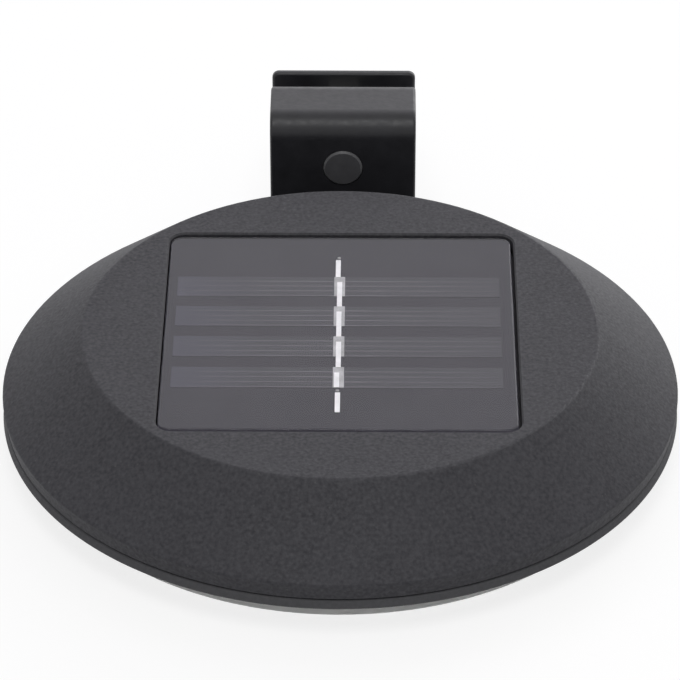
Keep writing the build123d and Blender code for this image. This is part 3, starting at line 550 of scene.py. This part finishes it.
def threaded_screw(materials):
    """The clamp screw: a plain nose, a bevelled shoulder and a rolled thread up to the knob."""
    low, high = box_mm("clamp_screw")
    x, z = (low.x + high.x) / 2, (low.z + high.z) / 2
    crest = (high.z - low.z) / 2 - THREAD_INSIDE
    root = crest - THREAD_DEPTH
    shoulder = low.y + NOSE_LEN
    foot = root - SHOULDER_DROP
    rings = [
        screw_ring(x, low.y, z, lambda turn: NOSE_R - NOSE_BEVEL),
        screw_ring(x, low.y + NOSE_BEVEL, z, lambda turn: NOSE_R),
        screw_ring(x, shoulder, z, lambda turn: NOSE_R),
        screw_ring(x, shoulder, z, lambda turn: foot),
    ]

    def radius_at(turn):
        limit = foot + (y - shoulder) * (crest - foot) / SHOULDER_BEVEL
        return min(limit, thread_radius(y / THREAD_PITCH - turn, crest, root))

    for step in range(1, round((high.y - shoulder) / THREAD_STEP) + 1):
        y = shoulder + step * THREAD_STEP
        rings.append(screw_ring(x, y, z, radius_at))
    mesh = bmesh.new()
    skin(mesh, rings)
    piece = new_piece("threaded_screw", mesh, materials["zinc_steel"], "screw")
    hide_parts("clamp_screw")


# ------------------------------------------------------------------------------ stage
WORLD_LIT = 0.28  # how strongly the surround lights matt surfaces
WORLD_SEEN = 1.0  # white
FLOOR_SIZE = 8.0
FLOOR_DROP = 0.0002  # keeps the floor clear of the lamp's underside
FLOOR_GLOW = 0.8  # share of the seen floor that stays white in a shadow
FLOOR_SEEN_GREY = 0.3  # adds the lit share, so that a shadow shows
FLOOR_GREY = 0.8  # what the floor throws back on the lamp

# Name, place, size, power and colour
LIGHTS = (
    ("key", (0.7, 1.1, 0.42), 1.0, 5.5, (1.0, 1.0, 1.0)),
    ("back", (0.0, 1.05, 0.7), 1.4, 4.2, (0.94, 0.91, 1.0)),
    ("front", (0.0, -0.5, 1.1), 0.5, 3.6, (1.0, 1.0, 1.0)),
)


def seen_directly(tree):
    """1 for rays from the camera, and for those mirrored by or passed through a surface."""
    path = node(tree, "LightPath")
    rays = maths(tree, "MAXIMUM", path.outputs["Is Camera Ray"], path.outputs["Is Glossy Ray"])
    return maths(tree, "MAXIMUM", rays, path.outputs["Is Transmission Ray"])


def lit_and_seen(tree, lit, seen):
    """The lit shader for light that bounces, and the seen one for what is looked at."""
    return node(tree, "MixShader", {0: seen_directly(tree), 1: lit, 2: seen}).outputs["Shader"]


def make_world():
    """A white surround to look at, and a softer one for what it lights."""
    world = bpy.data.worlds.new("studio")
    bpy.context.scene.world = world
    world.use_nodes = True
    tree = world.node_tree
    tree.nodes.clear()
    lit, seen = (
        node(tree, "Background", {"Color": (1, 1, 1, 1), "Strength": strength})
        for strength in (WORLD_LIT, WORLD_SEEN)
    )
    surface = lit_and_seen(tree, lit.outputs["Background"], seen.outputs["Background"])
    node(tree, "OutputWorld", {"Surface": surface})


def make_floor():
    """A pale floor just under the lamp. It stays white and keeps part of the lamp's shadow."""
    mesh = bmesh.new()
    bmesh.ops.create_grid(mesh, x_segments=4, y_segments=4, size=FLOOR_SIZE / 2)
    data = bpy.data.meshes.new("floor")
    mesh.to_mesh(data)
    mesh.free()
    floor = bpy.data.objects.new("floor", data)
    floor.location.z = -FLOOR_DROP
    bpy.context.scene.collection.objects.link(floor)
    material = bpy.data.materials.new("floor")
    material.use_nodes = True
    tree = material.node_tree
    tree.nodes.clear()
    plain, part = (
        node(tree, "BsdfDiffuse", {"Color": (grey, grey, grey, 1)})
        for grey in (FLOOR_GREY, FLOOR_SEEN_GREY)
    )
    glow = node(tree, "Emission", {"Color": (1, 1, 1, 1), "Strength": FLOOR_GLOW})
    white = node(tree, "AddShader", {0: part.outputs["BSDF"], 1: glow.outputs["Emission"]})
    surface = lit_and_seen(tree, plain.outputs["BSDF"], white.outputs["Shader"])
    node(tree, "OutputMaterial", {"Surface": surface})
    data.materials.append(material)


def make_lights():
    """Large square lights that face the lamp."""
    for name, place_at, size, power, color in LIGHTS:
        data = bpy.data.lights.new(name, "AREA")
        data.shape = "SQUARE"
        data.size = size
        data.energy = power
        data.color = color
        light = bpy.data.objects.new(name, data)
        light.location = place_at
        light.rotation_euler = (TARGET - Vector(place_at)).to_track_quat("-Z", "Y").to_euler()
        bpy.context.scene.collection.objects.link(light)


# ------------------------------------------------------------------------------ the scene
make_camera()
make_world()
make_floor()
make_lights()

materials = make_materials()
slot_of = {part["node"]: part["material_slot"] for part in frame["record"]["subparts"]}
for name, piece in frame["nodes"].items():
    piece.data.materials.clear()
    piece.data.materials.append(materials[slot_of[name]])

panel_face(materials)
finger_lines()
solder_blobs(materials)
threaded_screw(materials)

bpy.context.scene.view_settings.view_transform = "Standard"
bpy.context.view_layer.update()
